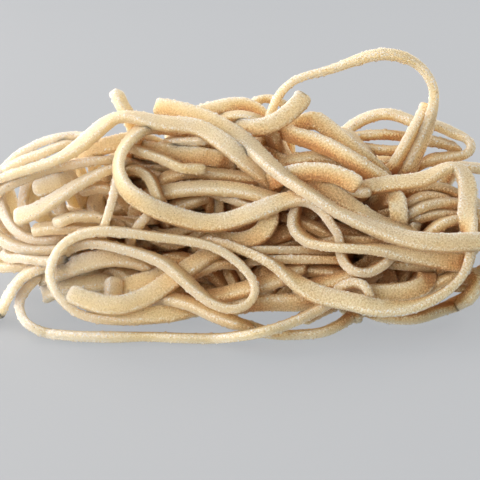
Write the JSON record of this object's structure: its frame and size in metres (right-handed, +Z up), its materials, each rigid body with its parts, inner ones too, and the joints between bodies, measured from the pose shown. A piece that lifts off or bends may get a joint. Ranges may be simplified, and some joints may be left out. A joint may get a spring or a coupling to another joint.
{
  "type": "heap of fresh linguine",
  "caption": "Loose tangled heap of uncooked fresh flat-oval pasta strands, with loops on the table and one loop arching clear above the crown.",
  "frame": {"origin": "middle of the base of the whole heap's box, on the surface that the heap lies on", "axes": "+Z up; +X along the heap's longest side; -Y towards the heap's front, where the loops lie on the table"},
  "size_m": [0.1242, 0.089, 0.0519],
  "materials": {
    "fresh_pasta": "matte floury egg dough, rough-cut granular surface, pale cream to tan, slightly translucent where thin"
  },
  "bodies": {
    "root": {"pasta_heap": "fresh_pasta"}
  },
  "joints": []
}
